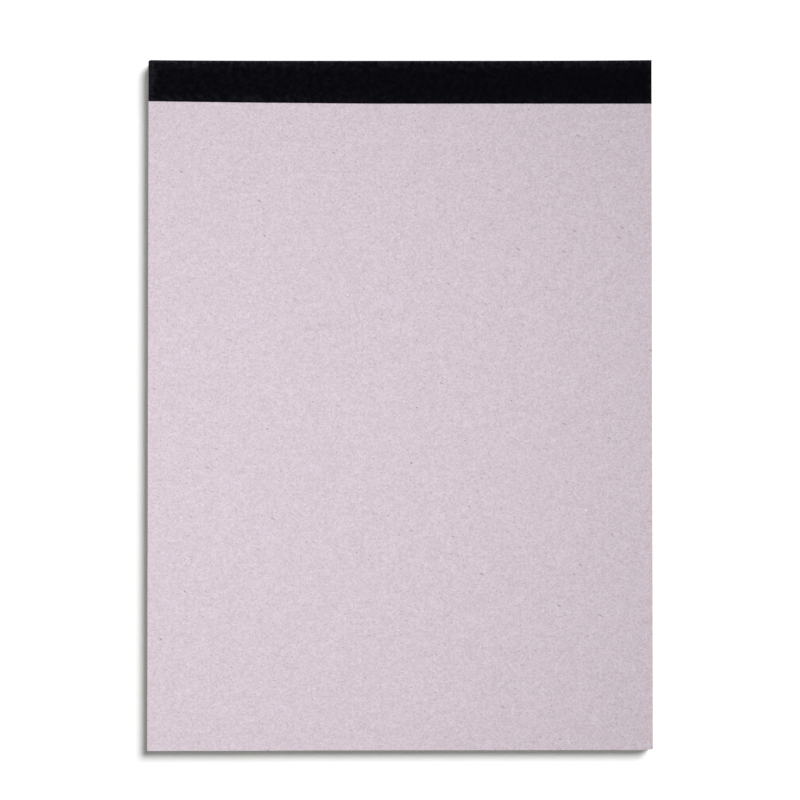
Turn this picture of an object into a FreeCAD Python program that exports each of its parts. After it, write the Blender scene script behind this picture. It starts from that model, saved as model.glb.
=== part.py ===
import FreeCAD, Part
import math
import os
import Sketcher

# Legal pad: a block of ruled sheets on a grey chipboard back, glued along the head and bound there
# with one strip of black tape that wraps from the board, over the head, onto the front sheet.
# The pad lies on its front sheet with the board up. The origin is at the middle of the face that
# it lies on, +Z points up out of the board and the bound head is at +Y. Lengths are millimetres.

# Driving sizes: name, value, meaning. Left and right are as seen from above, left at -X.
SIZES = [
    ("pad_width", 215.9, "width of the sheets and the board"),
    ("pad_length", 295.8, "foot edge to the outside of the tape at the head"),
    ("sheet_count", 50, "number of sheets in the block"),
    ("sheet_thickness", 0.1, "one sheet with the air that it traps"),
    ("board_thickness", 0.9, "chipboard back"),
    ("glue_film", 0.6, "padding compound on the head of sheets and board"),
    ("tape_thickness", 0.2, "binding tape with its glue"),
    ("tape_strip_width", 38.1, "width of the flat strip before it is folded"),
    ("back_leg_left", 17.5, "tape on the board, at the left side"),
    ("back_leg_right", 18.8, "tape on the board, at the right side"),
    ("fold_radius", 0.35, "inside radius of the tape's two folds"),
    ("tear_clearance", 1.9, "front tape edge to the perforation, at the longer end"),
    ("slit_pitch", 2.1, "one slit and one tie of the perforation"),
    ("slit_length", 1.4, "one slit of the perforation"),
    ("slit_width", 0.15, "width of the perforating knife"),
    ("worn_corner_radius", 1.2, "rubbed corner at the left of the head"),
    ("foot_corner_radius", 0.4, "the two corners at the foot"),
    ("board_edge_roll", 0.15, "soft upper edge of the board"),
]

# Places worked out from the sizes, as expressions that the sketches and features are bound to.
LEFT = "-sizes.pad_width / 2"
RIGHT = "sizes.pad_width / 2"
FOOT = "-sizes.pad_length / 2"
HEAD = "sizes.pad_length / 2"
TAPE = "sizes.tape_thickness"
STACK = "sizes.sheet_count * sizes.sheet_thickness"
BOARD_TOP = f"{STACK} + sizes.board_thickness"
PAD_TOP = f"{BOARD_TOP} + {TAPE}"
TAPE_INSIDE = f"{HEAD} - {TAPE}"
SHEET_HEAD = f"{TAPE_INSIDE} - sizes.glue_film"
OUTER_FOLD = f"sizes.fold_radius + {TAPE}"
FOLD_START = f"{HEAD} - ({OUTER_FOLD})"
BACK_EDGE_LEFT = f"{HEAD} - sizes.back_leg_left"
BACK_EDGE_RIGHT = f"{HEAD} - sizes.back_leg_right"
FRONT_LEG_LEFT = f"sizes.tape_strip_width - ({PAD_TOP}) - sizes.back_leg_left"
FRONT_LEG_RIGHT = f"sizes.tape_strip_width - ({PAD_TOP}) - sizes.back_leg_right"
FRONT_EDGE_LEFT = f"{HEAD} - ({FRONT_LEG_LEFT})"
FRONT_EDGE_RIGHT = f"{HEAD} - ({FRONT_LEG_RIGHT})"
TEAR_LINE = f"min({FRONT_EDGE_LEFT}; {FRONT_EDGE_RIGHT}) - sizes.tear_clearance"
SLIT_COUNT = "floor(sizes.pad_width / sizes.slit_pitch)"
FIRST_SLIT = f"-({SLIT_COUNT} - 1) * sizes.slit_pitch / 2"

SAME_PLACE = 0.01
ORIGIN_POINT = (-1, 1)


def make_sheet(doc):
    """The spreadsheet of driving sizes: what each one is, its value and its alias."""
    sheet = doc.addObject("Spreadsheet::Sheet", "sizes")
    for row, (alias, value, meaning) in enumerate(SIZES, start=1):
        sheet.set(f"A{row}", meaning)
        sheet.set(f"B{row}", str(value))
        sheet.setAlias(f"B{row}", alias)
    doc.recompute()
    return sheet


def number(owner, expression):
    """The value of an expression, as a plain number."""
    value = owner.evalExpression(expression)
    return float(getattr(value, "Value", value))


def new_body(doc, name):
    body = doc.addObject("PartDesign::Body", name)
    body.Label = name
    return body


def sketch_on(body, plane, name, lift=None):
    """A sketch on one of the body's own origin planes, lifted off it along its normal."""
    sketch = body.newObject("Sketcher::SketchObject", name)
    support = next(item for item in body.Origin.OriginFeatures if item.Role == plane)
    sketch.AttachmentSupport = [(support, "")]
    sketch.MapMode = "FlatFace"
    if lift is not None:
        sketch.setExpression(".AttachmentOffset.Base.z", lift)
    return sketch


def hold(sketch, kind, place, name, expression):
    """A dimension of the sketch, bound to an expression."""
    value = number(sketch, expression)
    index = sketch.addConstraint(Sketcher.Constraint(kind, *place, value))
    sketch.renameConstraint(index, name)
    sketch.setExpression(f"Constraints.{name}", expression)


def arc_between(start, end, centre):
    """An arc under half a turn, and whether it runs from start to end."""
    radius = (start - centre).Length
    first = math.atan2(start.y - centre.y, start.x - centre.x)
    last = math.atan2(end.y - centre.y, end.x - centre.x)
    forward = (last - first) % (2 * math.pi) < math.pi
    if not forward:
        first, last = last, first
    circle = Part.Circle(centre, FreeCAD.Vector(0, 0, 1), radius)
    return Part.ArcOfCircle(circle, first, last), forward


def outline(sketch, corners, arcs=None):
    """A closed outline through corners, each an (x, y) pair of expressions.

    arcs gives, for the side that starts at a corner's number, the centre and the radius of its arc.
    """
    arcs = arcs or {}
    points = [FreeCAD.Vector(number(sketch, x), number(sketch, y), 0) for x, y in corners]
    ends = []
    for side, start in enumerate(points):
        end = points[(side + 1) % len(points)]
        forward = True
        if side in arcs:
            centre, radius = arcs[side]
            middle = FreeCAD.Vector(number(sketch, centre[0]), number(sketch, centre[1]), 0)
            curve, forward = arc_between(start, end, middle)
        else:
            curve = Part.LineSegment(start, end)
        index = sketch.addGeometry(curve, False)
        ends.append(((index, 1), (index, 2)) if forward else ((index, 2), (index, 1)))
    for side, (x, y) in enumerate(corners):
        here = ends[side][0]
        before = ends[side - 1][1]
        sketch.addConstraint(Sketcher.Constraint("Coincident", *before, *here))
        hold(sketch, "DistanceX", (*ORIGIN_POINT, *here), f"x{side}", x)
        hold(sketch, "DistanceY", (*ORIGIN_POINT, *here), f"y{side}", y)
    for side, (centre, radius) in arcs.items():
        hold(sketch, "Radius", (ends[side][0][0],), f"radius{side}", radius)


def pad(body, sketch, name, length, both_ways=False):
    feature = body.newObject("PartDesign::Pad", name)
    feature.Profile = sketch
    feature.setExpression("Length", length)
    if both_ways:
        feature.SideType = "Symmetric"
    return feature


def pocket_up(body, sketch, name, depth=None):
    """A pocket cut upwards from its sketch, to a depth or through the whole body."""
    feature = body.newObject("PartDesign::Pocket", name)
    feature.Profile = sketch
    feature.Reversed = True
    if depth is None:
        feature.Type = "ThroughAll"
    else:
        feature.setExpression("Length", depth)
    return feature


def fillet(body, name, wanted, radius):
    """A fillet on the edges of the body so far that wanted picks."""
    body.Document.recompute()
    base = body.Tip
    edges = [f"Edge{i}" for i, edge in enumerate(base.Shape.Edges, start=1) if wanted(edge)]
    feature = body.newObject("PartDesign::Fillet", name)
    feature.Base = (base, edges)
    feature.setExpression("Radius", radius)
    return feature


def near(value, target):
    return abs(value - target) < SAME_PLACE


def cut_worn_corner(body):
    """Takes the left head corner off to its rubbed round, the same for every piece there."""
    radius = "sizes.worn_corner_radius"
    side_end = f"{HEAD} - {radius}"
    head_end = f"{LEFT} + {radius}"
    sketch = sketch_on(body, "XY_Plane", f"{body.Name}_corner_waste")
    corners = [(LEFT, side_end), (head_end, HEAD), (LEFT, HEAD)]
    outline(sketch, corners, arcs={0: ((head_end, side_end), radius)})
    pocket_up(body, sketch, f"{body.Name}_worn_corner")


def round_foot_corners(body):
    """Rounds the two upright edges at the foot."""
    half_width = number(body, RIGHT)
    foot = number(body, FOOT)

    def at_foot_corner(edge):
        middle = edge.CenterOfMass
        upright = near(edge.BoundBox.XLength, 0) and near(edge.BoundBox.YLength, 0)
        return upright and near(abs(middle.x), half_width) and near(middle.y, foot)

    fillet(body, f"{body.Name}_foot_corners", at_foot_corner, "sizes.foot_corner_radius")


def make_paper_block(doc):
    """The sheets as one solid, stepped under the tape and slit along the tear line."""
    body = new_body(doc, "paper_block")
    plan = sketch_on(body, "XY_Plane", "sheet_plan")
    outline(plan, [(LEFT, FOOT), (RIGHT, FOOT), (RIGHT, SHEET_HEAD), (LEFT, SHEET_HEAD)])
    pad(body, plan, "sheets", STACK)
    round_foot_corners(body)
    cut_worn_corner(body)
    step = sketch_on(body, "XY_Plane", "tape_step_plan")
    step_corners = [
        (LEFT, FRONT_EDGE_LEFT),
        (RIGHT, FRONT_EDGE_RIGHT),
        (RIGHT, SHEET_HEAD),
        (LEFT, SHEET_HEAD),
    ]
    outline(step, step_corners)
    pocket_up(body, step, "tape_step", TAPE)
    slit_row(body)
    return body


def slit_row(body):
    """The perforation: one slit through all sheets, repeated across the width."""
    slit = sketch_on(body, "XY_Plane", "slit_plan")
    slit_left = f"{FIRST_SLIT} - sizes.slit_length / 2"
    slit_right = f"{FIRST_SLIT} + sizes.slit_length / 2"
    slit_low = f"{TEAR_LINE} - sizes.slit_width / 2"
    slit_high = f"{TEAR_LINE} + sizes.slit_width / 2"
    slit_corners = [
        (slit_left, slit_low),
        (slit_right, slit_low),
        (slit_right, slit_high),
        (slit_left, slit_high),
    ]
    outline(slit, slit_corners)
    first = pocket_up(body, slit, "first_slit")
    row = body.newObject("PartDesign::LinearPattern", "slit_row")
    row.Originals = [first]
    row.Direction = (slit, ["H_Axis"])
    row.Mode = "Spacing"
    row.setExpression("Offset", "sizes.slit_pitch")
    row.setExpression("Occurrences", SLIT_COUNT)
    body.Tip = row


def make_backing_board(doc):
    """The chipboard, with square cut sides below and a soft edge above."""
    body = new_body(doc, "backing_board")
    plan = sketch_on(body, "XY_Plane", "board_plan", lift=STACK)
    outline(plan, [(LEFT, FOOT), (RIGHT, FOOT), (RIGHT, SHEET_HEAD), (LEFT, SHEET_HEAD)])
    pad(body, plan, "board", "sizes.board_thickness")
    round_foot_corners(body)
    cut_worn_corner(body)
    top = number(body, BOARD_TOP)
    half_width = number(body, RIGHT)
    foot = number(body, FOOT)

    def open_upper_edge(edge):
        middle = edge.CenterOfMass
        on_top = near(edge.BoundBox.ZMin, top)
        return on_top and (near(abs(middle.x), half_width) or near(middle.y, foot))

    fillet(body, "rolled_edge", open_upper_edge, "sizes.board_edge_roll")
    return body


def make_head_glue(doc):
    """The film of padding compound that holds the sheets and the board together at the head."""
    body = new_body(doc, "head_glue")
    radius = "sizes.fold_radius"
    round_start = f"{TAPE_INSIDE} - {radius}"
    low_centre = f"{TAPE} + {radius}"
    high_centre = f"{BOARD_TOP} - {radius}"
    section = sketch_on(body, "YZ_Plane", "film_section")
    corners = [
        (SHEET_HEAD, TAPE),
        (round_start, TAPE),
        (TAPE_INSIDE, low_centre),
        (TAPE_INSIDE, high_centre),
        (round_start, BOARD_TOP),
        (SHEET_HEAD, BOARD_TOP),
    ]
    arcs = {
        1: ((round_start, low_centre), radius),
        3: ((round_start, high_centre), radius),
    }
    outline(section, corners, arcs)
    pad(body, section, "film", "sizes.pad_width", both_ways=True)
    cut_worn_corner(body)
    return body


def make_binding_tape(doc):
    """The tape: two folds round the head, a leg on the board and a leg on the front sheet."""
    body = new_body(doc, "binding_tape")
    low_centre = OUTER_FOLD
    high_centre = f"{PAD_TOP} - ({OUTER_FOLD})"
    section = sketch_on(body, "YZ_Plane", "fold_section")
    corners = [
        (FOLD_START, "0"),
        (HEAD, low_centre),
        (HEAD, high_centre),
        (FOLD_START, PAD_TOP),
        (FOLD_START, BOARD_TOP),
        (TAPE_INSIDE, high_centre),
        (TAPE_INSIDE, low_centre),
        (FOLD_START, TAPE),
    ]
    arcs = {
        0: ((FOLD_START, low_centre), OUTER_FOLD),
        2: ((FOLD_START, high_centre), OUTER_FOLD),
        4: ((FOLD_START, high_centre), "sizes.fold_radius"),
        6: ((FOLD_START, low_centre), "sizes.fold_radius"),
    }
    outline(section, corners, arcs)
    pad(body, section, "folds", "sizes.pad_width", both_ways=True)
    legs = [
        ("back_leg", BACK_EDGE_LEFT, BACK_EDGE_RIGHT, BOARD_TOP),
        ("front_leg", FRONT_EDGE_LEFT, FRONT_EDGE_RIGHT, None),
    ]
    for name, left_edge, right_edge, lift in legs:
        plan = sketch_on(body, "XY_Plane", f"{name}_plan", lift=lift)
        leg_corners = [
            (LEFT, left_edge),
            (RIGHT, right_edge),
            (RIGHT, FOLD_START),
            (LEFT, FOLD_START),
        ]
        outline(plan, leg_corners)
        pad(body, plan, name, TAPE)
    cut_worn_corner(body)
    return body


def check_document(doc, bodies):
    """Stops if a feature failed, a cut removed nothing or a piece is not one valid solid."""
    for item in doc.Objects:
        if "Invalid" in item.State or "Error" in item.State:
            raise RuntimeError(f"{item.Name} failed: {item.State}")
    for body in bodies:
        before = 0.0
        for feature in body.Group:
            if not feature.isDerivedFrom("PartDesign::Feature"):
                continue
            volume = feature.Shape.Volume
            cuts = feature.isDerivedFrom("PartDesign::Pocket") or feature.Name == "slit_row"
            if cuts and not volume < before:
                raise RuntimeError(f"{feature.Name} removes nothing")
            before = volume
        shape = body.Shape
        if shape.isNull() or not shape.isValid() or len(shape.Solids) != 1:
            raise RuntimeError(f"{body.Label} is not one valid solid")


def main():
    doc = FreeCAD.newDocument("legal_pad")
    make_sheet(doc)
    bodies = [
        make_paper_block(doc),
        make_backing_board(doc),
        make_head_glue(doc),
        make_binding_tape(doc),
    ]
    doc.recompute()
    check_document(doc, bodies)
    os.makedirs("parts", exist_ok=True)
    for body in bodies:
        body.Shape.exportStep(f"parts/{body.Label}.step")
        box = body.Shape.BoundBox
        print(f"{body.Label}: {body.Shape.Volume:.1f} mm3, {box}")


main()
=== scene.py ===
import math
import random

import bmesh
import bpy
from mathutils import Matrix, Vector, geometry, noise


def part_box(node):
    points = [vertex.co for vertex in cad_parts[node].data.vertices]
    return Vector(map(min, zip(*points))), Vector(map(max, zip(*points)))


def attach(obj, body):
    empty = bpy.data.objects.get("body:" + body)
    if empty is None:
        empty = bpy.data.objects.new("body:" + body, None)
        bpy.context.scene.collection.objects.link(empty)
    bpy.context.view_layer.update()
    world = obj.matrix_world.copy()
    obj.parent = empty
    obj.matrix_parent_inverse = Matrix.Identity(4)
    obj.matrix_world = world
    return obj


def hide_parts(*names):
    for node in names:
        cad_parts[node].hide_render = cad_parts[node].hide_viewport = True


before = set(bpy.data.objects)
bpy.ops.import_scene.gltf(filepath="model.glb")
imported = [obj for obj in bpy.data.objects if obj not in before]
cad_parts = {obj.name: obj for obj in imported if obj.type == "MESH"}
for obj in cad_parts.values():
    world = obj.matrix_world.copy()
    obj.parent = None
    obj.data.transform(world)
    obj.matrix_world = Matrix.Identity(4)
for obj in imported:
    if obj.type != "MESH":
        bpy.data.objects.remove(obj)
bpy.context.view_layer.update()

# A legal pad, seen from above as it lies on its front sheet: grey chipboard back, black tape
# folded over the head, a film of glue under the tape and fifty sheets, the front one ruled.
# Metres, +Z up, head at +Y. "Left" is -X, as seen from above.

MM = 0.001
SAME_PLACE = 0.05 * MM

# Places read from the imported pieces.
sheets_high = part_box("paper_block")[1]
board_low, board_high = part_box("backing_board")
tape_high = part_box("binding_tape")[1]
LEFT = board_low.x
RIGHT = board_high.x
FOOT = board_low.y
HEAD = tape_high.y
SHEET_HEAD = board_high.y
SHEETS_TOP = sheets_high.z
BOARD_TOP = board_high.z
PAD_TOP = tape_high.z
TAPE_THICK = PAD_TOP - BOARD_TOP
WIDTH = RIGHT - LEFT
LENGTH = HEAD - FOOT


def extreme(cad_node, axis, pick, near):
    """The lowest or highest place along an axis of those vertices of a node that lie on some planes."""
    places = [
        vertex.co
        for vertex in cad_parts[cad_node].data.vertices
        if all(abs(vertex.co[number] - place) < SAME_PLACE for number, place in near)
    ]
    return pick(place[axis] for place in places)


X, Y, Z = 0, 1, 2
BACK_EDGE = [extreme("binding_tape", Y, min, [(X, side), (Z, PAD_TOP)]) for side in (LEFT, RIGHT)]
FRONT_EDGE = [extreme("binding_tape", Y, min, [(X, side), (Z, 0)]) for side in (LEFT, RIGHT)]
WORN_RADIUS = extreme("binding_tape", X, min, [(Y, HEAD)]) - LEFT
FOLD_RADIUS = HEAD - extreme("binding_tape", Y, max, [(Z, PAD_TOP)])

# The cut foot is a little out of square. It steps up over a span in its left half, which counts
# from -1 at the left side to 1 at the right side, and its right corner is crushed.
FOOT_CORNER = 0.4 * MM
FOOT_STEP = 0.14 * MM
FOOT_STEP_SPAN = (-0.7, -0.3)
FOOT_SLANT = 0.28 * MM
NIBBLE_DEPTH = 0.4 * MM
NIBBLE_LENGTH = 2.6 * MM
FOOT_FADE = 2 * MM

# The tape was laid in a slight bow, so that it hangs lower in the middle.
SPINE_BOW = 0.3 * MM
BACK_BOW = 0.46 * MM
BACK_DROP = 0.26 * MM


def across(pair, x):
    """A value that runs evenly from the left side's to the right side's."""
    return pair[0] + (pair[1] - pair[0]) * (x - LEFT) / WIDTH


def smooth(low, high, value):
    """A soft step from 0 at low to 1 at high."""
    share = min(max((value - low) / (high - low), 0), 1)
    return share * share * (3 - 2 * share)


LINE_STRIDE = (7.31, 1.7)


def wobble(along, seed, wave, size):
    """An uneven line: between 0 and size, with waves of about the given length."""
    place = Vector((along / wave, seed * LINE_STRIDE[0], seed * LINE_STRIDE[1]))
    return size * (0.5 + 0.5 * noise.noise(place))


def off_middle(x):
    """-1 at the left side, 0 in the middle, 1 at the right side."""
    return (2 * x - LEFT - RIGHT) / WIDTH


def foot_line(x):
    """The cut foot's y at a place x."""
    slant = FOOT_SLANT * (x - LEFT) / WIDTH + FOOT_STEP * smooth(*FOOT_STEP_SPAN, off_middle(x))
    nibble = NIBBLE_DEPTH * smooth(RIGHT - NIBBLE_LENGTH, RIGHT - NIBBLE_LENGTH / 3, x)
    return FOOT + slant + nibble


# Nodes of a material

def new_material(name):
    """A new material, its node tree and its shader."""
    material = bpy.data.materials.new(name)
    material.use_nodes = True
    tree = material.node_tree
    shader = tree.nodes["Principled BSDF"]
    return material, tree, shader


def node(tree, kind, settings=None, **inputs):
    """A shader node. Its inputs go by name, or as i0, i1 and so on where names repeat.

    An input is a number, a colour, or another node's output to link.
    """
    made = tree.nodes.new("ShaderNode" + kind)
    for key, value in (settings or {}).items():
        setattr(made, key, value)
    for key, value in inputs.items():
        socket = made.inputs[int(key[1:])] if key[1:].isdigit() else made.inputs[key]
        if isinstance(value, bpy.types.NodeSocket):
            tree.links.new(value, socket)
        else:
            socket.default_value = value
    return made


def millimetres(tree, stretch=(1, 1, 1), turn=0.0, shift=(0, 0, 0)):
    """Object coordinates in millimetres, stretched, turned about Z and shifted."""
    place = node(tree, "TexCoord").outputs["Object"]
    if turn:
        settings = {"rotation_type": "Z_AXIS"}
        place = node(tree, "VectorRotate", settings, Vector=place, Angle=turn).outputs[0]
    scale = [part / MM for part in stretch]
    scaled = node(tree, "VectorMath", {"operation": "MULTIPLY"}, i0=place, i1=scale).outputs[0]
    return node(tree, "VectorMath", {"operation": "ADD"}, i0=scaled, i1=shift).outputs[0]


def maths(tree, operation, first, second=0.0, third=0.0):
    """The result of one operation on two or three values."""
    settings = {"operation": operation}
    return node(tree, "Math", settings, i0=first, i1=second, i2=third).outputs[0]


def times(tree, first, second):
    """The product of two values."""
    return maths(tree, "MULTIPLY", first, second)


def total(tree, *parts):
    """The sum of all the values."""
    result = parts[0]
    for part in parts[1:]:
        result = maths(tree, "ADD", result, part)
    return result


def ramp(tree, value, low, high, to_low=0.0, to_high=1.0, kind="SMOOTHSTEP"):
    """Turns the range low to high of a value into the range to_low to to_high."""
    settings = {"interpolation_type": kind}
    inputs = {"Value": value, "From Min": low, "From Max": high, "To Min": to_low, "To Max": to_high}
    return node(tree, "MapRange", settings, **inputs).outputs["Result"]


def mix(tree, share, first, second, kind="MIX"):
    """Blends a share of the second colour into the first one."""
    made = tree.nodes.new("ShaderNodeMix")
    made.data_type = "RGBA"
    made.blend_type = kind
    for index, value in ((0, share), (6, first), (7, second)):
        if isinstance(value, bpy.types.NodeSocket):
            tree.links.new(value, made.inputs[index])
        else:
            made.inputs[index].default_value = value
    return made.outputs[2]


def colour(red, green, blue):
    """An opaque colour, from linear values of 0 to 1."""
    return (red, green, blue, 1)


# How far one seed's pattern lies from the next one's, in millimetres.
GRAIN_STRIDE = (31.7, 17.3, 5.9)
SPECKLE_STRIDE = (11.3, 23.9, 7.7)
SPECKS_STRIDE = (13.1, 29.9, 3.3)
SPECK_CORE = 0.4


def far_off(seed, stride):
    """The shift that gives a seed its own part of a pattern."""
    return [seed * part for part in stride]


def grain(tree, size, seed, detail=0.0, stretch=(1, 1, 1)):
    """Cloudy noise about zero, its spots of about the given size in millimetres."""
    place = millimetres(tree, stretch, shift=far_off(seed, GRAIN_STRIDE))
    inputs = {"Vector": place, "Scale": 1 / size, "Detail": detail, "Roughness": 0.6}
    made = node(tree, "TexNoise", {"noise_dimensions": "3D"}, **inputs)
    return maths(tree, "SUBTRACT", made.outputs["Fac"], 0.5)


def speckle(tree, size, seed):
    """Random tones about zero, one for each grain of the given size in millimetres."""
    place = millimetres(tree, shift=far_off(seed, SPECKLE_STRIDE))
    cells = node(tree, "TexVoronoi", {"feature": "F1"}, Vector=place, Scale=1 / size)
    chance = node(tree, "SeparateColor", Color=cells.outputs["Color"])
    return maths(tree, "SUBTRACT", chance.outputs[0], 0.5)


def specks(tree, spacing, share, radius, seed, stretch=(1, 1, 1), turn=0.0):
    """A mask of specks of one to two radii, one in each of a share of the cells of a spacing."""
    place = millimetres(tree, stretch, turn, far_off(seed, SPECKS_STRIDE))
    settings = {"feature": "F1", "voronoi_dimensions": "2D"}
    cells = node(tree, "TexVoronoi", settings, Vector=place, Scale=1 / spacing)
    chance = node(tree, "SeparateColor", Color=cells.outputs["Color"])
    picked = maths(tree, "LESS_THAN", chance.outputs[0], share)
    edge = maths(tree, "MULTIPLY_ADD", chance.outputs[1], radius, radius)
    reach = maths(tree, "DIVIDE", edge, spacing)
    inner = times(tree, reach, SPECK_CORE)
    near = ramp(tree, cells.outputs["Distance"], inner, reach, 1, 0)
    return times(tree, near, picked)


def surface(tree, shader, shade, roughness, specular):
    """Gives a shader its colour, how rough it is and how strongly it shines."""
    tree.links.new(shade, shader.inputs["Base Color"])
    shader.inputs["Roughness"].default_value = roughness
    shader.inputs["Specular IOR Level"].default_value = specular


def bump(tree, shader, height, distance):
    """Roughens the look of a surface: a height of 1 stands for the distance, in metres."""
    made = node(tree, "Bump", Strength=1.0, Distance=distance, Height=height)
    tree.links.new(made.outputs["Normal"], shader.inputs["Normal"])


def band(tree, value, middle, half, soft):
    """1 within half of a middle, fading to 0 over the soft width. Millimetres."""
    distance = maths(tree, "ABSOLUTE", maths(tree, "SUBTRACT", value, middle))
    return ramp(tree, distance, half, half + soft, 1, 0)


# Materials

BOARD_COLOUR = colour(0.692, 0.603, 0.674)
BOARD_FIBRE = colour(0.53, 0.40, 0.33)
BOARD_DARK = colour(0.17, 0.13, 0.142)
BOARD_WHITE = colour(0.98, 0.89, 0.94)
# Middle x and y, half the length and height, soft edge (all in millimetres), and strength.
RUBS = [
    (-30, 33.5, 12, 0.3, 1.5, 0.10),
    (-38, 31.5, 5, 0.2, 1.2, 0.08),
    (92, -119, 5, 0.8, 3.0, 0.07),
]


def rubs(tree):
    """Faint marks on the board's back: a long scratch and two smears."""
    place = node(tree, "SeparateXYZ", Vector=millimetres(tree))
    broken = ramp(tree, grain(tree, 2.5, 16, detail=2, stretch=(0.5, 1, 1)), -0.1, 0.2)
    masks = []
    for x, y, half_long, half_high, soft, strength in RUBS:
        along = band(tree, place.outputs[X], x, half_long, soft)
        over = band(tree, place.outputs[Y], y, half_high, soft)
        mask = times(tree, times(tree, along, over), broken)
        masks.append(times(tree, mask, strength))
    return total(tree, *masks)


def board_tone(tree):
    """The chipboard's tone, about 1: pulp grain and a little mottle."""
    fine = times(tree, speckle(tree, 0.55, 1), 0.205)
    medium = times(tree, grain(tree, 1.5, 2, stretch=(0.8, 1.1, 1)), 0.105)
    coarse = times(tree, grain(tree, 3.5, 3, stretch=(0.8, 1.1, 1)), 0.045)
    broad = times(tree, grain(tree, 30, 4, detail=2), 0.012)
    return total(tree, fine, medium, coarse, broad, 1.0)


def chipboard_face():
    """Grey board of mixed pulp, with dark, pale and brownish bits in it."""
    material, tree, shader = new_material("chipboard_face")
    tone = board_tone(tree)
    shade = mix(tree, 1.0, BOARD_COLOUR, tone, "MULTIPLY")
    blotches = ramp(tree, grain(tree, 3.4, 4, detail=1), -0.25, 0.3, 0, 0.14, kind="LINEAR")
    shade = mix(tree, blotches, shade, BOARD_FIBRE)
    # Each kind of bit: its specks (spacing, share of cells, radius, seed), their strength and tint.
    bits = [
        (specks(tree, 2.8, 0.30, 0.20, 5), 0.42, BOARD_WHITE),
        (specks(tree, 2.7, 0.40, 0.18, 6), 0.42, BOARD_DARK),
        (specks(tree, 4.2, 0.5, 0.34, 7, stretch=(0.35, 1.5, 1), turn=0.25), 0.20, BOARD_FIBRE),
        (specks(tree, 4.0, 0.4, 0.30, 8, stretch=(1.4, 0.4, 1), turn=0.6), 0.17, BOARD_FIBRE),
        (specks(tree, 9, 0.22, 0.20, 9), 0.52, BOARD_DARK),
        (specks(tree, 8, 0.08, 0.32, 10, stretch=(0.45, 1.6, 1), turn=0.5), 0.50, BOARD_DARK),
        (specks(tree, 17, 0.20, 0.22, 14, stretch=(0.8, 1.2, 1)), 0.90, BOARD_DARK),
        (specks(tree, 34, 0.14, 0.32, 15), 0.85, BOARD_WHITE),
    ]
    for mask, strength, tint in bits:
        shade = mix(tree, times(tree, mask, strength), shade, tint)
    shade = mix(tree, rubs(tree), shade, BOARD_DARK)
    surface(tree, shader, shade, roughness=0.85, specular=0.15)
    bump(tree, shader, tone, distance=0.03 * MM)
    return material


def chipboard_edge():
    """The board's cut side: layers of pulp, a little darker than its face."""
    material, tree, shader = new_material("chipboard_edge")
    layers = times(tree, grain(tree, 0.12, 11, stretch=(0.04, 0.04, 1)), 0.7)
    fine = times(tree, grain(tree, 0.3, 12), 0.5)
    tone = total(tree, layers, fine, 0.88)
    shade = mix(tree, 1.0, BOARD_COLOUR, tone, "MULTIPLY")
    flecks = specks(tree, 0.9, 0.3, 0.12, 13, stretch=(0.5, 0.5, 1.5))
    shade = mix(tree, times(tree, flecks, 0.4), shade, BOARD_DARK)
    surface(tree, shader, shade, roughness=0.9, specular=0.15)
    bump(tree, shader, tone, distance=0.06 * MM)
    return material


PAPER_COLOUR = colour(0.90, 0.80, 0.36)
EDGE_COLOUR = colour(0.94, 0.86, 0.50)
RULE_COLOUR = colour(0.36, 0.55, 0.72)
MARGIN_COLOUR = colour(0.75, 0.22, 0.24)


def paper(name, tint, edge=False):
    """Pad paper, a line printed on it or the block's cut edges: a soft cloudiness of the pulp."""
    material, tree, shader = new_material(name)
    cloud = times(tree, grain(tree, 2.2, 21, detail=3), 0.07)
    fine = times(tree, grain(tree, 0.35, 22), 0.06)
    tone = total(tree, cloud, fine, 1.0)
    if edge:
        layers = times(tree, grain(tree, 0.1, 23, stretch=(0.02, 0.02, 1)), 0.30)
        tone = total(tree, tone, layers)
    shade = mix(tree, 1.0, tint, tone, "MULTIPLY")
    surface(tree, shader, shade, roughness=0.8, specular=0.2)
    bump(tree, shader, fine, distance=0.01 * MM)
    return material


TAPE_COLOUR = colour(0.0005, 0.0004, 0.0014)
# The dust's colour, which also paints the highlight along the tape's folds.
TAPE_DUST_AND_SHEEN = colour(0.030, 0.029, 0.038)


def edge_ramp(tree, place, edge, reach, full=0, strength=1):
    """Grows from nothing at the reach before an edge to its strength at the full distance before it."""
    return ramp(tree, place, edge - reach, edge - full, 0, strength)


def tape_dust_and_sheen(tree):
    """Dust and painted sheen on the tape: a painted highlight with dust at its folds, dust at its ends
    and in patches along its lower edge.

    Sizes are in millimetres. A reach below 0 lies beyond its edge.
    """
    place = node(tree, "SeparateXYZ", Vector=millimetres(tree))
    x, y, z = (place.outputs[axis] for axis in (X, Y, Z))
    left, right, head, low = LEFT / MM, RIGHT / MM, HEAD / MM, BACK_EDGE[1] / MM
    half_thick = PAD_TOP / MM / 2
    off_spine = maths(tree, "ABSOLUTE", maths(tree, "SUBTRACT", z, half_thick))
    at_fold = edge_ramp(tree, off_spine, half_thick, reach=1.1, full=0.3, strength=0.40)
    # Painted highlight along the fold crests, over rubbed dust: lightest right at the head.
    fold_sheen_and_dust = times(tree, edge_ramp(tree, y, head, reach=1.7, full=0.4), at_fold)
    patches = ramp(tree, grain(tree, 14, 34, detail=1), -0.08, 0.22, 0.3, 1.0)
    near_edge = times(tree, edge_ramp(tree, y, low, reach=-4.8, full=-1.5), patches)
    edge_share = ramp(tree, x, right, left, 0.06, 0.28, kind="LINEAR")
    return total(
        tree,
        fold_sheen_and_dust,
        # Lighter towards the head over 5.5 mm: the fold's painted highlight, over dust.
        edge_ramp(tree, y, head, reach=5.5, strength=0.27),
        edge_ramp(tree, x, left, reach=-5.0, strength=0.46),
        edge_ramp(tree, x, right, reach=2.4, strength=0.26),
        ramp(tree, x, right, left, 0.05, 0.10, kind="LINEAR"),
        times(tree, near_edge, edge_share),
    )


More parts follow.
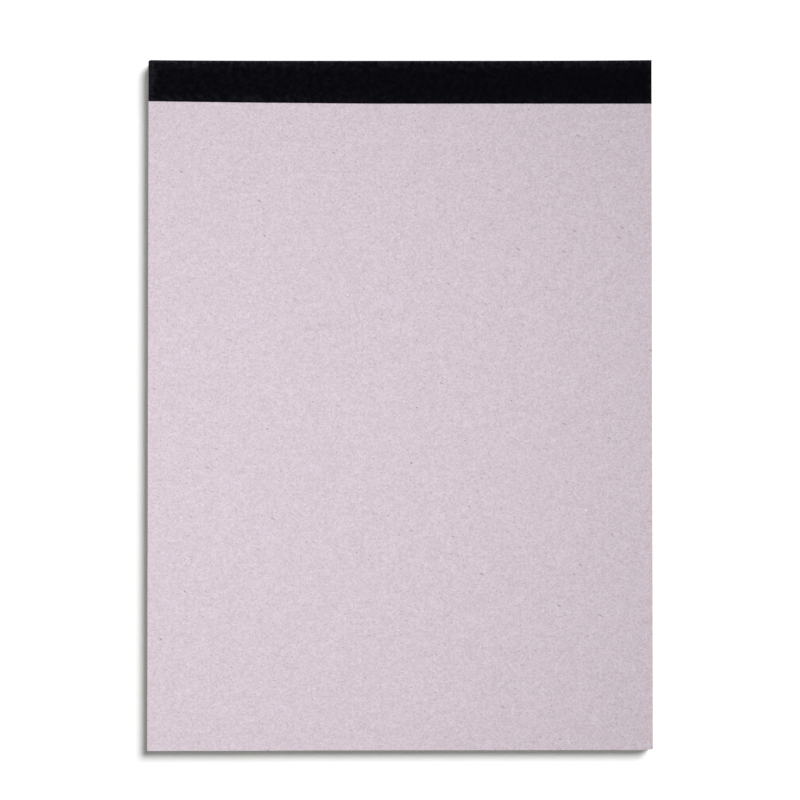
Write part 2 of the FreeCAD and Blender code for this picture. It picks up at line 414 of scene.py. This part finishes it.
def black_tape():
    """Black paper tape: fine crepe, with a mottled dust where it was rubbed, and a painted highlight
    along its folds.
    """
    material, tree, shader = new_material("black_tape")
    cloud = ramp(tree, grain(tree, 2.3, 31, detail=3), -0.18, 0.22, 0.12, 1.05)
    fine = maths(tree, "MULTIPLY_ADD", speckle(tree, 0.6, 32), 1.1, 1.0)
    mottle = times(tree, cloud, fine)
    # Dust, and the painted highlight at the folds.
    dust_and_sheen = times(tree, tape_dust_and_sheen(tree), mottle)
    shade = mix(tree, dust_and_sheen, TAPE_COLOUR, TAPE_DUST_AND_SHEEN)
    surface(tree, shader, shade, roughness=0.6, specular=0.015)
    crepe = grain(tree, 0.45, 33, detail=1, stretch=(1.0, 0.35, 1))
    bump(tree, shader, crepe, distance=0.03 * MM)
    return material


GLUE_COLOUR = colour(0.62, 0.58, 0.50)


def head_glue():
    """Dried padding compound: milky, slightly glossy."""
    material, tree, shader = new_material("head_glue")
    cloud = times(tree, grain(tree, 1.2, 41, detail=2), 0.3)
    shade = mix(tree, 1.0, GLUE_COLOUR, total(tree, cloud, 1.0), "MULTIPLY")
    surface(tree, shader, shade, roughness=0.4, specular=0.5)
    bump(tree, shader, cloud, distance=0.05 * MM)
    return material


# Meshes

def add_piece(name, mesh, materials, cad_node):
    """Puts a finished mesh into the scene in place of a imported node."""
    for material in materials:
        mesh.materials.append(material)
    piece = bpy.data.objects.new(name, mesh)
    bpy.context.scene.collection.objects.link(piece)
    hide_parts(cad_node)
    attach(piece, "root")
    return piece


def finished_mesh(name, work):
    """A mesh of the finished work, its faces looking outwards."""
    bmesh.ops.recalc_face_normals(work, faces=work.faces)
    mesh = bpy.data.meshes.new(name)
    work.to_mesh(mesh)
    work.free()
    return mesh


# Areas of the baking map: left, low, right, top. The largest is for the face that shows most.
WIDE_AREA = (0.01, 0.01, 0.725, 0.99)
HIDDEN_AREA = (0.96, 0.96, 0.99, 0.99)


def face_side(polygon, middle):
    """Which way a face looks, as axis and sign, or "inside" where it looks at the piece's middle."""
    if polygon.normal.dot(polygon.center - middle) < 0:
        return "inside"
    axis = max((X, Y, Z), key=lambda number: abs(polygon.normal[number]))
    return "XYZ"[axis] + ("+" if polygon.normal[axis] > 0 else "-")


def lay_map(mesh, areas, middle, inks=()):
    """Lays out the baking map: each side of the piece gets its own area, and each ink a patch."""
    layer = mesh.uv_layers.new(name="OFBake")
    low = [min(vertex.co[axis] for vertex in mesh.vertices) for axis in (X, Y, Z)]
    high = [max(vertex.co[axis] for vertex in mesh.vertices) for axis in (X, Y, Z)]
    for polygon in mesh.polygons:
        axes, area = areas.get(face_side(polygon, middle), ((X, Y), HIDDEN_AREA))
        start, end = low, high
        places = [mesh.vertices[number].co for number in polygon.vertices]
        if polygon.material_index in inks:
            axes, area = (X, Y), inks[polygon.material_index]
            start = [min(place[axis] for place in places) for axis in (X, Y, Z)]
            end = [max(place[axis] for place in places) for axis in (X, Y, Z)]
        for loop, place in zip(polygon.loop_indices, places):
            shares = [(place[axis] - start[axis]) / (end[axis] - start[axis]) for axis in axes]
            across_area = area[0] + (area[2] - area[0]) * shares[0]
            up_area = area[1] + (area[3] - area[1]) * shares[1]
            layer.data[loop].uv = (across_area, up_area)


def stitch(work, lower, upper, material=0):
    """Smooth quads between two closed rows of vertices with equal counts."""
    count = len(lower)
    for start in range(count):
        after = (start + 1) % count
        face = work.faces.new((lower[start], lower[after], upper[after], upper[start]))
        face.material_index = material
        face.smooth = True


# The inner pieces are rubbed round under the tape at the left of the head.
INNER_WEAR_X = 1.4 * MM
INNER_WEAR_Y = 1.9 * MM
INNER_EASE = 0.05 * MM
INNER_WEAR_START = HEAD - TAPE_THICK - INNER_EASE - INNER_WEAR_Y


def corner_cut(into, length, depth):
    """How far a round corner moves a side inwards, at a place so far into the corner's length."""
    share = min(max(into / length, 0), 1)
    return depth * (1 - math.sqrt(1 - share * share))


def left_side(y):
    """The left edge of the sheets and the board at a height y: straight, with its two round corners."""
    foot_cut = corner_cut(FOOT + FOOT_CORNER - y, FOOT_CORNER, FOOT_CORNER)
    worn_cut = corner_cut(y - INNER_WEAR_START, INNER_WEAR_Y, INNER_WEAR_X)
    return LEFT + foot_cut + worn_cut


def right_side(y):
    """The right edge of the sheets and the board at a height y: round at the foot only."""
    return RIGHT - corner_cut(FOOT + FOOT_CORNER - y, FOOT_CORNER, FOOT_CORNER)


def steps(start, end, spacing):
    """Even steps from start to end, without the end itself."""
    count = max(1, round(abs(end - start) / spacing))
    return [start + (end - start) * number / count for number in range(count)]


CORNER_POINTS = 6


def even_angles(count, last=math.pi / 2):
    """Angles from 0 to the last one, a right angle unless it is given, both ends included."""
    return [last * step / count for step in range(count + 1)]


def side_heights(spacing):
    """Heights y from foot to head, close together where the sides are round."""
    foot_angles = even_angles(CORNER_POINTS)[:-1]
    foot_round = [FOOT + FOOT_CORNER * (1 - math.cos(angle)) for angle in foot_angles]
    straight = steps(FOOT + FOOT_CORNER, INNER_WEAR_START, spacing)
    worn_angles = even_angles(CORNER_POINTS, math.asin((SHEET_HEAD - INNER_WEAR_START) / INNER_WEAR_Y))
    worn = [INNER_WEAR_START + INNER_WEAR_Y * math.sin(angle) for angle in worn_angles]
    return foot_round + straight + worn


def board_outline(spacing):
    """The board's plan, counterclockwise from the left of the foot."""
    heights = side_heights(spacing)
    foot_left = left_side(FOOT)
    foot_right = right_side(FOOT)
    foot = [(x, foot_line(x)) for x in steps(foot_left, foot_right, spacing)]
    rise = foot_line(foot_right) - FOOT
    right = [(right_side(y), y + rise * (1 - smooth(FOOT, FOOT + FOOT_FADE, y))) for y in heights]
    head_left = left_side(SHEET_HEAD)
    head = [(x, SHEET_HEAD) for x in steps(RIGHT, head_left, spacing)][1:]
    left = [(left_side(y), y) for y in reversed(heights)][:-1]
    return foot + right + head + left


MITRE_LIMIT = 0.5


def inset(outline, distances):
    """The outline moved inwards, each point by its own distance from both its sides."""
    moved = []
    for number, (x, y) in enumerate(outline):
        before = outline[number - 1]
        after = outline[(number + 1) % len(outline)]
        arriving = Vector((x - before[0], y - before[1])).normalized()
        leaving = Vector((after[0] - x, after[1] - y)).normalized()
        along = (arriving + leaving).normalized()
        reach = distances[number] / max(along.dot(leaving), MITRE_LIMIT)
        moved.append((x - along.y * reach, y + along.x * reach))
    return moved


CAP_GRID = 9 * MM
INSIDE_ONLY = 1
MERGE_DISTANCE = 1e-9


def fill_flat(work, ring, material):
    """Closes a flat ring with well-shaped triangles, on a grid of inner points."""
    points = [Vector((vertex.co.x, vertex.co.y)) for vertex in ring]
    height = ring[0].co.z
    count = len(points)
    sides = [(number, (number + 1) % count) for number in range(count)]
    for x in steps(LEFT, RIGHT, CAP_GRID)[1:]:
        for y in steps(FOOT, SHEET_HEAD, CAP_GRID)[1:]:
            points.append(Vector((x, y)))
    filled = geometry.delaunay_2d_cdt(points, sides, [], INSIDE_ONLY, MERGE_DISTANCE)
    places, triangles, sources = filled[0], filled[2], filled[3]
    vertices = []
    for place, source in zip(places, sources):
        on_ring = [number for number in source if number < count]
        vertices.append(ring[on_ring[0]] if on_ring else work.verts.new((place.x, place.y, height)))
    for triangle in triangles:
        face = work.faces.new([vertices[number] for number in triangle])
        face.material_index = material
        face.smooth = True


OUTLINE_SPACING = 1.2 * MM
SIDE_LEVELS = (0, 0.15, 0.35, 0.55, 0.75)
SIDE_ROUGH = 0.05 * MM
SIDE_WAVE = 2.5 * MM
SIDE_SEED = 50
ROLL_LEAST = 0.05 * MM
ROLL_CHANGE = 0.08 * MM
ROLL_WAVE = 9 * MM
ROLL_SEED = 60
ROLL_STEPS = 5
CAP_MARGIN = 0.12 * MM

# The places of the board's materials in its mesh.
BOARD_FACE, BOARD_SIDE = 0, 1


def ring_at(work, outline, distances, heights):
    """A ring of vertices inside the outline, each at its own distance and height."""
    places = zip(inset(outline, distances), heights)
    return [work.verts.new((x, y, height)) for (x, y), height in places]


def board_rings(work, outline):
    """Rings up the board's rough cut side, then round its rolled upper edge and onto the flat."""
    walk = [0]
    for before, after in zip(outline, outline[1:]):
        walk.append(walk[-1] + math.dist(before, after))
    rings = []
    for number, share in enumerate(SIDE_LEVELS):
        rough = [wobble(place, SIDE_SEED + number, SIDE_WAVE, SIDE_ROUGH) for place in walk]
        height = SHEETS_TOP + (BOARD_TOP - SHEETS_TOP) * share
        rings.append(ring_at(work, outline, rough, [height] * len(outline)))
    roll = [ROLL_LEAST + wobble(place, ROLL_SEED, ROLL_WAVE, ROLL_CHANGE) for place in walk]
    for angle in even_angles(ROLL_STEPS):
        distances = [reach * (1 - math.cos(angle)) for reach in roll]
        heights = [BOARD_TOP - reach * (1 - math.sin(angle)) for reach in roll]
        rings.append(ring_at(work, outline, distances, heights))
    flat = [reach + CAP_MARGIN for reach in roll]
    rings.append(ring_at(work, outline, flat, [BOARD_TOP] * len(outline)))
    return rings


def make_board():
    """One closed sheet of chipboard: rough cut sides, upper edge rolled soft by handling."""
    work = bmesh.new()
    rings = board_rings(work, board_outline(OUTLINE_SPACING))
    for number, (before, after) in enumerate(zip(rings, rings[1:])):
        stitch(work, before, after, BOARD_SIDE if number < len(SIDE_LEVELS) else BOARD_FACE)
    fill_flat(work, rings[0], BOARD_FACE)
    fill_flat(work, rings[-1], BOARD_FACE)
    mesh = finished_mesh("backing_board_mesh", work)
    areas = {
        "Z+": ((X, Y), WIDE_AREA),
        "X-": ((Z, Y), (0.74, 0.01, 0.785, 0.99)),
        "X+": ((Z, Y), (0.795, 0.01, 0.84, 0.99)),
        "Y-": ((Z, X), (0.85, 0.01, 0.895, 0.725)),
        "Y+": ((Z, X), (0.905, 0.01, 0.95, 0.725)),
    }
    lay_map(mesh, areas, Vector((0, 0, (SHEETS_TOP + BOARD_TOP) / 2)))
    materials = [chipboard_face(), chipboard_edge()]
    return add_piece("chipboard_back", mesh, materials, "backing_board")


SHEET_COUNT = 50
SHEET_FILL = 0.9
SHEET_INSET = 0.08 * MM
PRESS_LENGTH = 1.4 * MM
PRESS_STEPS = 5
ROW_SPACING = 16 * MM
HEAD_ROW_SPACING = 4 * MM
HEAD_ROW_START = max(FRONT_EDGE) + 1 * MM
COLUMN_COUNT = 6
SLIT_PITCH = 2.1 * MM
SLIT_LENGTH = 1.4 * MM
SLIT_WIDTH = 0.15 * MM
TEAR_CLEARANCE = 1.9 * MM
TEAR_LINE = min(FRONT_EDGE) - TEAR_CLEARANCE
RULE_PITCH = 8.73 * MM
RULE_WIDTH = 0.3 * MM
FIRST_RULE = 38 * MM
MARGIN_PLACE = 31.75 * MM
MARGIN_GAP = 1.6 * MM
FOOT_MARGIN = 6 * MM
SHIFT_SIDEWAYS = 0.03 * MM
SHIFT_LENGTHWAYS = 0.05 * MM
DRIFT_TURN = 0.21
SHIFT_SEED = 900

# The places of the sheets' materials in their meshes.
PLAIN, RULE, MARGIN, CUT_EDGE = 0, 1, 2, 3


def sheet_height(number, pressed):
    """The underside of a sheet in the open, or pressed in under the tape, or between the two."""
    in_open = SHEETS_TOP * number / SHEET_COUNT
    under_tape = TAPE_THICK + (SHEETS_TOP - TAPE_THICK) * number / SHEET_COUNT
    return in_open + (under_tape - in_open) * pressed


def sheet_rows(extra):
    """Rows across a sheet, foot to head: their y at the left and right, and how far pressed in."""
    flat = [y for y in side_heights(ROW_SPACING) if y < TEAR_LINE - SLIT_WIDTH]
    flat += extra
    flat += [TEAR_LINE - SLIT_WIDTH / 2, TEAR_LINE + SLIT_WIDTH / 2]
    rows = [(y, y, 0) for y in flat]
    for step in range(PRESS_STEPS + 1):
        share = step / PRESS_STEPS
        back = PRESS_LENGTH * (1 - share)
        rows.append((FRONT_EDGE[0] - back, FRONT_EDGE[1] - back, smooth(0, 1, share)))
    rows += [(y, y, 1) for y in side_heights(HEAD_ROW_SPACING) if y > HEAD_ROW_START]
    return sorted(rows)


def is_slit_row(row):
    """Whether a row runs along one side of the slits."""
    return abs(row[0] - TEAR_LINE) < SLIT_WIDTH


def slit_spans():
    """The x at which each slit of the tear line starts and ends."""
    count = math.floor(WIDTH / SLIT_PITCH)
    first = (LEFT + RIGHT) / 2 - (count - 1) * SLIT_PITCH / 2
    middles = [first + number * SLIT_PITCH for number in range(count)]
    return [(middle - SLIT_LENGTH / 2, middle + SLIT_LENGTH / 2) for middle in middles]


def sheet_points(rows, columns, breaks):
    """The sheet's points, and for each row the columns' x with their points' numbers."""
    points = []
    table = []
    for row in rows:
        numbers = []
        for column in breaks if is_slit_row(row) else columns:
            y = across(row[:2], column)
            x = column
            if column == LEFT:
                x = left_side(y)
            if column == RIGHT:
                x = right_side(y)
            lift = (foot_line(x) - FOOT) * (1 - smooth(FOOT, FOOT + 2 * FOOT_FADE, y))
            numbers.append((column, len(points)))
            points.append((x, y + lift, row[2]))
        table.append(numbers)
    return points, table


def ink_at(x, y, strips, lines):
    """The material of the printed side at a place."""
    if any(low < x < high for low, high in lines):
        return MARGIN
    if any(low < y < high for low, high in strips):
        return RULE
    return PLAIN


def sheet_plan(rules=(), margins=()):
    """Points and cells of a sheet. A cell holds its corners' numbers and its printed side's material."""
    strips = [(y - RULE_WIDTH / 2, y + RULE_WIDTH / 2) for y in rules]
    lines = [(x - RULE_WIDTH / 2, x + RULE_WIDTH / 2) for x in margins]
    rows = sheet_rows([edge for strip in strips for edge in strip])
    inner = steps(LEFT, RIGHT, WIDTH / COLUMN_COUNT)[1:] + [edge for line in lines for edge in line]
    columns = [LEFT] + sorted(inner) + [RIGHT]
    spans = slit_spans()
    breaks = sorted(set(columns + [edge for span in spans for edge in span]))
    points, table = sheet_points(rows, columns, breaks)
    cells = []
    for number, (row, after) in enumerate(zip(rows, rows[1:])):
        slit_band = is_slit_row(row) and is_slit_row(after)
        edges = breaks if slit_band else columns
        for start, end in zip(edges, edges[1:]):
            middle = ((start + end) / 2, (row[0] + after[0]) / 2)
            if slit_band and any(low < middle[0] < high for low, high in spans):
                continue
            below = [index for x, index in table[number] if start <= x <= end]
            above = [index for x, index in table[number + 1] if start <= x <= end]
            cells.append((below + above[::-1], ink_at(*middle, strips, lines)))
    return points, cells


def add_sheet(work, plan, number, shift):
    """One closed sheet: its lower face carries the print, and every free edge gets a wall."""
    points, cells = plan
    thick = SHEETS_TOP / SHEET_COUNT * SHEET_FILL
    centre = (LEFT + RIGHT) / 2
    middle = (FOOT + SHEET_HEAD) / 2
    lower = []
    upper = []
    for x, y, pressed in points:
        height = sheet_height(number, pressed)
        place_x = centre + (x - centre) * (1 - 2 * SHEET_INSET / WIDTH) + shift[0]
        place_y = middle + (y - middle) * (1 - 2 * SHEET_INSET / LENGTH) + shift[1]
        lower.append(work.verts.new((place_x, place_y, height)))
        upper.append(work.verts.new((place_x, place_y, height + thick)))
    used = {}
    for corners, ink in cells:
        work.faces.new([lower[index] for index in reversed(corners)]).material_index = ink
        work.faces.new([upper[index] for index in corners]).material_index = PLAIN
        for start, end in zip(corners, corners[1:] + corners[:1]):
            key = (min(start, end), max(start, end))
            used.setdefault(key, []).append((start, end))
    for sides in used.values():
        if len(sides) == 1:
            start, end = sides[0]
            wall = work.faces.new((lower[start], lower[end], upper[end], upper[start]))
            wall.material_index = CUT_EDGE


def sheet_shift(number):
    """How far one sheet lies from the middle of the block, sideways and lengthways."""
    draw = random.Random(SHIFT_SEED + number)
    drift = SHIFT_SIDEWAYS * math.sin(number * DRIFT_TURN)
    sideways = drift + draw.uniform(-SHIFT_SIDEWAYS, SHIFT_SIDEWAYS)
    return (sideways, draw.uniform(-SHIFT_LENGTHWAYS, SHIFT_LENGTHWAYS))


def rule_places():
    """The ruled lines' y, from the head down."""
    places = []
    y = HEAD - FIRST_RULE
    while y > FOOT + FOOT_MARGIN:
        places.append(y)
        y -= RULE_PITCH
    return places


def make_front_sheet(materials):
    """The sheet that the pad lies on, with its ruling."""
    margins = [RIGHT - MARGIN_PLACE, RIGHT - MARGIN_PLACE - MARGIN_GAP]
    work = bmesh.new()
    add_sheet(work, sheet_plan(rule_places(), margins), 0, sheet_shift(0))
    mesh = finished_mesh("front_sheet_mesh", work)
    areas = {
        "Z-": ((X, Y), WIDE_AREA),
        "X-": ((Z, Y), (0.74, 0.01, 0.76, 0.99)),
        "X+": ((Z, Y), (0.77, 0.01, 0.79, 0.99)),
        "Y-": ((Z, X), (0.80, 0.01, 0.82, 0.725)),
    }
    inks = {RULE: (0.84, 0.10, 0.94, 0.20), MARGIN: (0.84, 0.25, 0.94, 0.35)}
    lay_map(mesh, areas, Vector((0, 0, SHEETS_TOP / SHEET_COUNT / 2)), inks)
    add_piece("front_sheet", mesh, materials, "paper_block")


def make_stack(materials):
    """The rest of the block: plain sheets, each a little out of line."""
    work = bmesh.new()
    plain = sheet_plan()
    for number in range(1, SHEET_COUNT):
        add_sheet(work, plain, number, sheet_shift(number))
    mesh = finished_mesh("sheet_stack_mesh", work)
    areas = {
        "X-": ((Z, Y), (0.01, 0.01, 0.24, 0.99)),
        "X+": ((Z, Y), (0.26, 0.01, 0.49, 0.99)),
        "Y-": ((Z, X), (0.51, 0.01, 0.74, 0.90)),
        "Y+": ((Z, X), (0.76, 0.01, 0.94, 0.90)),
    }
    lay_map(mesh, areas, Vector((0, 0, SHEETS_TOP / 2)))
    add_piece("sheet_stack", mesh, materials, "paper_block")


def make_sheets():
    """The block of sheets, which share their paper and inks."""
    materials = [
        paper("canary_paper", PAPER_COLOUR),
        paper("rule_blue", RULE_COLOUR),
        paper("margin_red", MARGIN_COLOUR),
        paper("sheet_edges", EDGE_COLOUR, edge=True),
    ]
    make_front_sheet(materials)
    make_stack(materials)


def head_line(x):
    """The outside of the tape's spine, seen from above: a slight bow, with a worn round at its left."""
    head = HEAD - SPINE_BOW * (1 - off_middle(x) ** 4)
    into = LEFT + WORN_RADIUS - x
    if into <= 0:
        return head
    return head - WORN_RADIUS + math.sqrt(max(WORN_RADIUS**2 - into * into, 0))


def spine_stations(spacing):
    """Places x along the head, close together on the worn round."""
    angles = even_angles(2 * CORNER_POINTS)[:-1]
    worn = [LEFT + WORN_RADIUS * (1 - math.cos(angle)) for angle in angles]
    return worn + steps(LEFT + WORN_RADIUS, RIGHT, spacing) + [RIGHT]


def fold(head, radius, low, high, points=8):
    """The rounded spine from the front fold to the back fold, at one place x."""
    line = []
    for angle in even_angles(points):
        line.append((head - radius + radius * math.sin(angle), low + radius - radius * math.cos(angle)))
    for angle in even_angles(points):
        line.append((head - radius + radius * math.cos(angle), high - radius + radius * math.sin(angle)))
    return line


TAPE_RAGGED = 0.06 * MM
TAPE_EDGE_SOFT = 0.05 * MM
FRONT_WAVE = 3 * MM
FRONT_SEED = 71
BACK_WAVE = 2.2 * MM
BACK_SEED = 72
LEG_POINTS = 6
TAPE_SPACING = 1.5 * MM
GLUE_SPACING = 3 * MM
GLUE_EASE = 0.02 * MM
SHARP_ANGLE = math.radians(40)


def leg(edge, fold_end, height):
    """Points along a flat leg of the tape, from its free edge to where the fold starts."""
    return [(edge + (fold_end - edge) * n / LEG_POINTS, height) for n in range(LEG_POINTS)]


def tape_section(x):
    """The tape's closed section at x, as (y, z): outside from front leg to back leg, then inside."""
    head = head_line(x)
    front = across(FRONT_EDGE, x) + wobble(x, FRONT_SEED, FRONT_WAVE, TAPE_RAGGED)
    back = across(BACK_EDGE, x) - BACK_DROP - BACK_BOW * (1 - off_middle(x) ** 2)
    back = max(back, min(BACK_EDGE)) + wobble(x, BACK_SEED, BACK_WAVE, TAPE_RAGGED)
    outer = fold(head, FOLD_RADIUS, 0, PAD_TOP)
    inner = fold(head - TAPE_THICK, FOLD_RADIUS - TAPE_THICK, TAPE_THICK, BOARD_TOP)
    outside = [(front, TAPE_THICK / 2)]
    outside += leg(front + TAPE_EDGE_SOFT, outer[0][0], 0)
    outside += outer
    outside += reversed(leg(back + TAPE_EDGE_SOFT, outer[-1][0], PAD_TOP))
    outside += [(back, BOARD_TOP + TAPE_THICK / 2)]
    inside = leg(front, inner[0][0], TAPE_THICK)
    inside += inner
    inside += reversed(leg(back, inner[-1][0], BOARD_TOP))
    return outside + inside[::-1]


def lofted(name, stations, section_at):
    """A closed mesh along the head, through the sections of (y, z) at the stations x."""
    work = bmesh.new()
    rings = [[work.verts.new((x, y, z)) for y, z in section_at(x)] for x in stations]
    for before, after in zip(rings, rings[1:]):
        stitch(work, before, after)
    work.faces.new(rings[0])
    work.faces.new(list(reversed(rings[-1])))
    mesh = finished_mesh(name, work)
    mesh.set_sharp_from_angle(angle=SHARP_ANGLE)
    return mesh


def make_tape():
    """One strip of tape, folded over the head."""
    mesh = lofted("binding_tape_mesh", spine_stations(TAPE_SPACING), tape_section)
    areas = {
        "Z+": ((X, Y), (0.01, 0.01, 0.99, 0.25)),
        "Y+": ((X, Z), (0.01, 0.27, 0.99, 0.39)),
        "Z-": ((X, Y), (0.01, 0.41, 0.99, 0.65)),
        "Y-": ((X, Z), (0.01, 0.67, 0.99, 0.73)),
        "X-": ((Y, Z), (0.01, 0.76, 0.40, 0.90)),
        "X+": ((Y, Z), (0.42, 0.76, 0.81, 0.90)),
    }
    lay_map(mesh, areas, Vector((0, (HEAD + max(BACK_EDGE)) / 2, PAD_TOP / 2)))
    return add_piece("tape_wrap", mesh, [black_tape()], "binding_tape")


def glue_section(x):
    """The glue's closed section at x, as (y, z): the inside of the fold, then the head of the block."""
    head = head_line(x) - TAPE_THICK - GLUE_EASE
    back = min(SHEET_HEAD, head - FOLD_RADIUS) + GLUE_EASE
    low = TAPE_THICK + GLUE_EASE
    high = BOARD_TOP - GLUE_EASE
    return fold(head, FOLD_RADIUS - TAPE_THICK, low, high, points=4) + [(back, high), (back, low)]


def make_glue():
    """The film of glue under the tape's spine. It starts a little way into the worn round."""
    stations = spine_stations(GLUE_SPACING)[CORNER_POINTS:]
    mesh = lofted("head_glue_mesh", stations, glue_section)
    add_piece("glue_film", mesh, [head_glue()], "head_glue")


# Stage, light and camera

SUN_SHARE = 0.60
FLOOR_SUN_SHARE = 0.25
SKY_SHARE = 0.08
FILL_SHARE = 0.308
SUN_DIRECTION = Vector((3.75, 4.1, 5.9)).normalized()
SUN_SIZE = math.radians(29.5)
FLOOR_COLOUR = colour(0.97, 0.97, 0.97)
FLOOR_BOUNCE = colour(0.45, 0.48, 0.54)
FLOOR_GLOW = 0.15
FLOOR_SIZE = 40
FLOOR_DROP = 0.02 * MM


def make_floor():
    """A pale floor that the camera sees as white outside the shadow."""
    bpy.ops.mesh.primitive_plane_add(size=FLOOR_SIZE, location=(0, 0, -FLOOR_DROP))
    floor = bpy.context.active_object
    floor.name = "floor"
    material, tree, shader = new_material("pale_floor")
    camera_ray = node(tree, "LightPath").outputs["Is Camera Ray"]
    shade = mix(tree, camera_ray, FLOOR_BOUNCE, FLOOR_COLOUR)
    surface(tree, shader, shade, roughness=1.0, specular=0.0)
    shader.inputs["Emission Color"].default_value = colour(1, 1, 1)
    tree.links.new(times(tree, camera_ray, FLOOR_GLOW), shader.inputs["Emission Strength"])
    floor.data.materials.append(material)
    return floor


def make_sky():
    """An even pale light all round, which the camera and reflections see as white."""
    world = bpy.data.worlds.new("studio")
    bpy.context.scene.world = world
    world.use_nodes = True
    tree = world.node_tree
    path = node(tree, "LightPath")
    seen = maths(tree, "MAXIMUM", path.outputs["Is Camera Ray"], path.outputs["Is Glossy Ray"])
    seen = maths(tree, "MAXIMUM", seen, path.outputs["Is Transmission Ray"])
    strength = ramp(tree, seen, 0, 1, SKY_SHARE, 1, kind="LINEAR")
    background = tree.nodes["Background"]
    background.inputs["Color"].default_value = colour(1, 1, 1)
    tree.links.new(strength, background.inputs["Strength"])


def light_only(lamp, lit):
    """Keeps a lamp's light to the given objects."""
    group = bpy.data.collections.new("lit_by_" + lamp.name)
    for piece in lit:
        group.objects.link(piece)
    lamp.light_linking.receiver_collection = group


def make_sun(name, share):
    """A lamp high at the upper right, wide enough for a soft shadow.

    With a share of 1 a white face that lies flat is lit just to white.
    """
    data = bpy.data.lights.new(name, "SUN")
    data.energy = share * math.pi / SUN_DIRECTION.z
    data.angle = SUN_SIZE
    sun = bpy.data.objects.new(name, data)
    bpy.context.scene.collection.objects.link(sun)
    sun.rotation_euler = SUN_DIRECTION.to_track_quat("Z", "Y").to_euler()
    return sun


FILL_PLACE = Vector((-0.132, -0.016, 0.405))
FILL_SIZE = 0.06
FILL_CONE = math.radians(96)
FILL_SOFTNESS = 0.72


def make_fill():
    """A soft lamp straight above the left side: its light fades towards the right corners."""
    data = bpy.data.lights.new("fill", "SPOT")
    data.shadow_soft_size = FILL_SIZE
    data.spot_size = FILL_CONE
    data.spot_blend = FILL_SOFTNESS
    distance = FILL_PLACE.length
    facing = FILL_PLACE.z / distance
    # But for its soft cone, the middle of the pad gets as much light as from a sun of this share.
    data.energy = FILL_SHARE * 4 * math.pi * math.pi * distance**2 / facing
    fill = bpy.data.objects.new("fill", data)
    bpy.context.scene.collection.objects.link(fill)
    fill.location = FILL_PLACE
    return fill


# The camera sees a square of this width at the board. Its lens and sensor are in millimetres.
FIELD = 342.4 * MM
LENS = 85
SENSOR = 36
TILT = math.radians(0.91)
AIM = Vector((-0.01, 1.95, 0)) * MM


def make_camera():
    """The photo's view: from straight above the pad, but for a little towards the foot."""
    data = bpy.data.cameras.new("camera")
    data.lens = LENS
    data.sensor_width = SENSOR
    data.clip_end = 100
    camera = bpy.data.objects.new("camera", data)
    bpy.context.scene.collection.objects.link(camera)
    back = Vector((0, -math.sin(TILT), math.cos(TILT)))
    target = AIM + Vector((0, 0, BOARD_TOP))
    camera.location = target + back * FIELD * LENS / SENSOR
    camera.rotation_euler = back.to_track_quat("Z", "Y").to_euler()
    bpy.context.scene.camera = camera


board = make_board()
tape = make_tape()
make_sheets()
make_glue()
floor = make_floor()
make_sky()
make_sun("key", SUN_SHARE)
light_only(make_sun("floor_key", FLOOR_SUN_SHARE), [floor])
light_only(make_fill(), [board, tape])
make_camera()
bpy.context.scene.view_settings.view_transform = "Standard"
